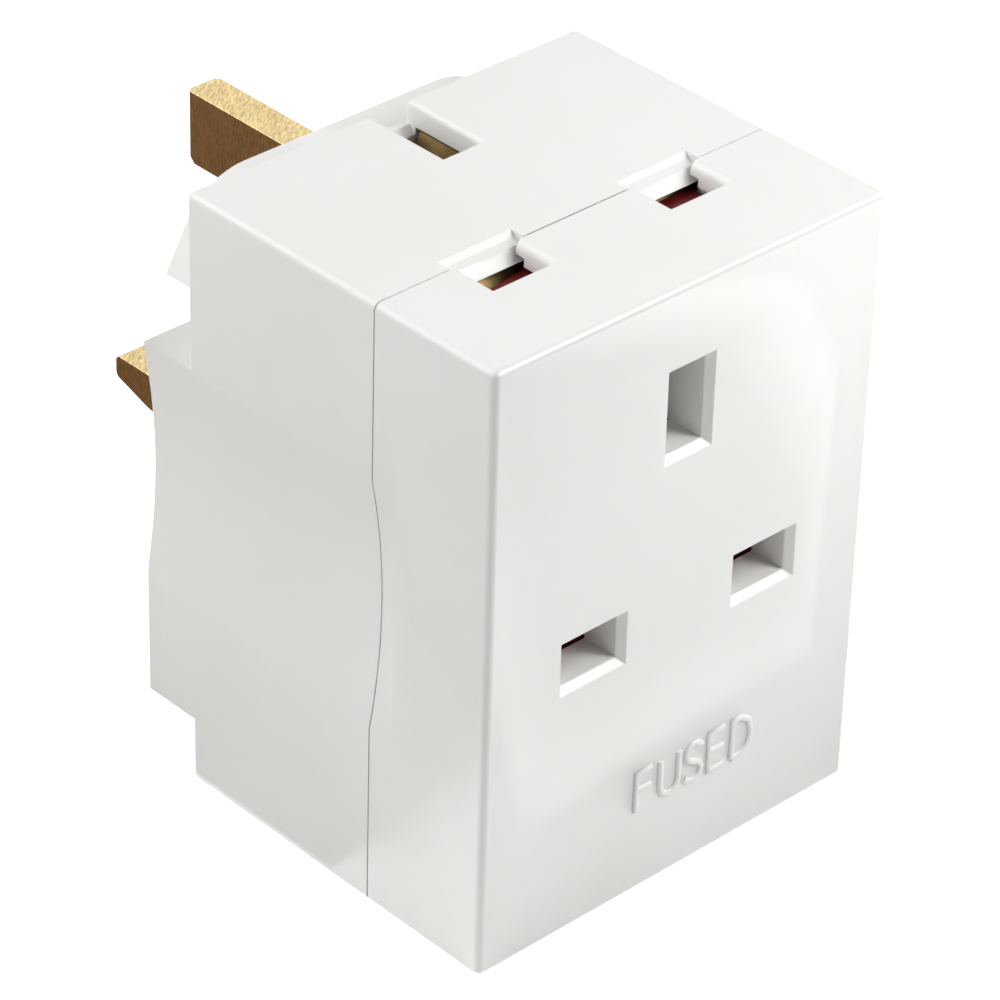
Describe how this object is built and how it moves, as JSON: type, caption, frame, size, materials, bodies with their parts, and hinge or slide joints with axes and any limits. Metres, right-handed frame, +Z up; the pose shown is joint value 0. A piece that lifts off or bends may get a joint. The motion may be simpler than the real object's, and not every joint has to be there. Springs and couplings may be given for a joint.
{
  "type": "multi socket adapter",
  "caption": "Box-shaped fused mains adapter with sockets in its front, top and bottom faces and a square-pin plug at its back.",
  "frame": {"origin": "centre of the housing's bottom face, midway between the front face and the rear plane", "axes": "+X to the right seen from the front, +Y from the front socket to the plug pins, +Z up"},
  "size_m": [0.0494, 0.0693, 0.067],
  "materials": {
    "white_moulding": "gloss",
    "pin_brass": "drawn and tumbled",
    "sleeve_moulding": "satin",
    "contact_strip": "rolled strip",
    "shutter_moulding": "satin",
    "spring_strip": "rolled strip",
    "plated_screw": "zinc plated",
    "fuse_ceramic": "fired, unglazed",
    "fuse_cap_plating": "plated",
    "carrier_moulding": "gloss"
  },
  "bodies": {
    "housing": {"front_cover": "white_moulding", "rear_body": "white_moulding", "earth_pin": "pin_brass", "line_pin": "pin_brass", "neutral_pin": "pin_brass", "line_sleeve": "sleeve_moulding", "neutral_sleeve": "sleeve_moulding", "neutral_busbar": "contact_strip", "line_busbar": "contact_strip", "earth_busbar": "contact_strip", "line_contact_front": "contact_strip", "neutral_contact_front": "contact_strip", "earth_contact_front": "contact_strip", "line_contact_top": "contact_strip", "neutral_contact_top": "contact_strip", "earth_contact_top": "contact_strip", "line_contact_bottom": "contact_strip", "neutral_contact_bottom": "contact_strip", "earth_contact_bottom": "contact_strip", "fuse_clip_line": "contact_strip", "fuse_clip_load": "contact_strip", "low_screw_right": "plated_screw", "low_screw_left": "plated_screw", "high_screw_right": "plated_screw", "high_screw_left": "plated_screw", "shutter_spring_front": "spring_strip", "shutter_spring_top": "spring_strip", "shutter_spring_bottom": "spring_strip"},
    "front_shutter": {"shutter_front": "shutter_moulding"},
    "top_shutter": {"shutter_top": "shutter_moulding"},
    "bottom_shutter": {"shutter_bottom": "shutter_moulding"},
    "fuse_drawer": {"fuse_carrier": "carrier_moulding", "fuse_tube": "fuse_ceramic", "fuse_cap_line": "fuse_cap_plating", "fuse_cap_load": "fuse_cap_plating"}
  },
  "joints": [
    {"name": "front_shutter_slide", "type": "slide", "parent": "housing", "child": "front_shutter", "axis": [0, 0, -1], "range_m": [0, 0.005], "stiffness_N_per_m": 120, "springref_m": -0.002, "deforming": ["shutter_spring_front"]},
    {"name": "top_shutter_slide", "type": "slide", "parent": "housing", "child": "top_shutter", "axis": [0, -1, 0], "range_m": [0, 0.005], "stiffness_N_per_m": 120, "springref_m": -0.002, "deforming": ["shutter_spring_top"]},
    {"name": "bottom_shutter_slide", "type": "slide", "parent": "housing", "child": "bottom_shutter", "axis": [0, -1, 0], "range_m": [0, 0.005], "stiffness_N_per_m": 120, "springref_m": -0.002, "deforming": ["shutter_spring_bottom"]},
    {"name": "fuse_drawer_slide", "type": "slide", "parent": "housing", "child": "fuse_drawer", "axis": [0, 1, 0], "range_m": [0, 0.006]}
  ]
}
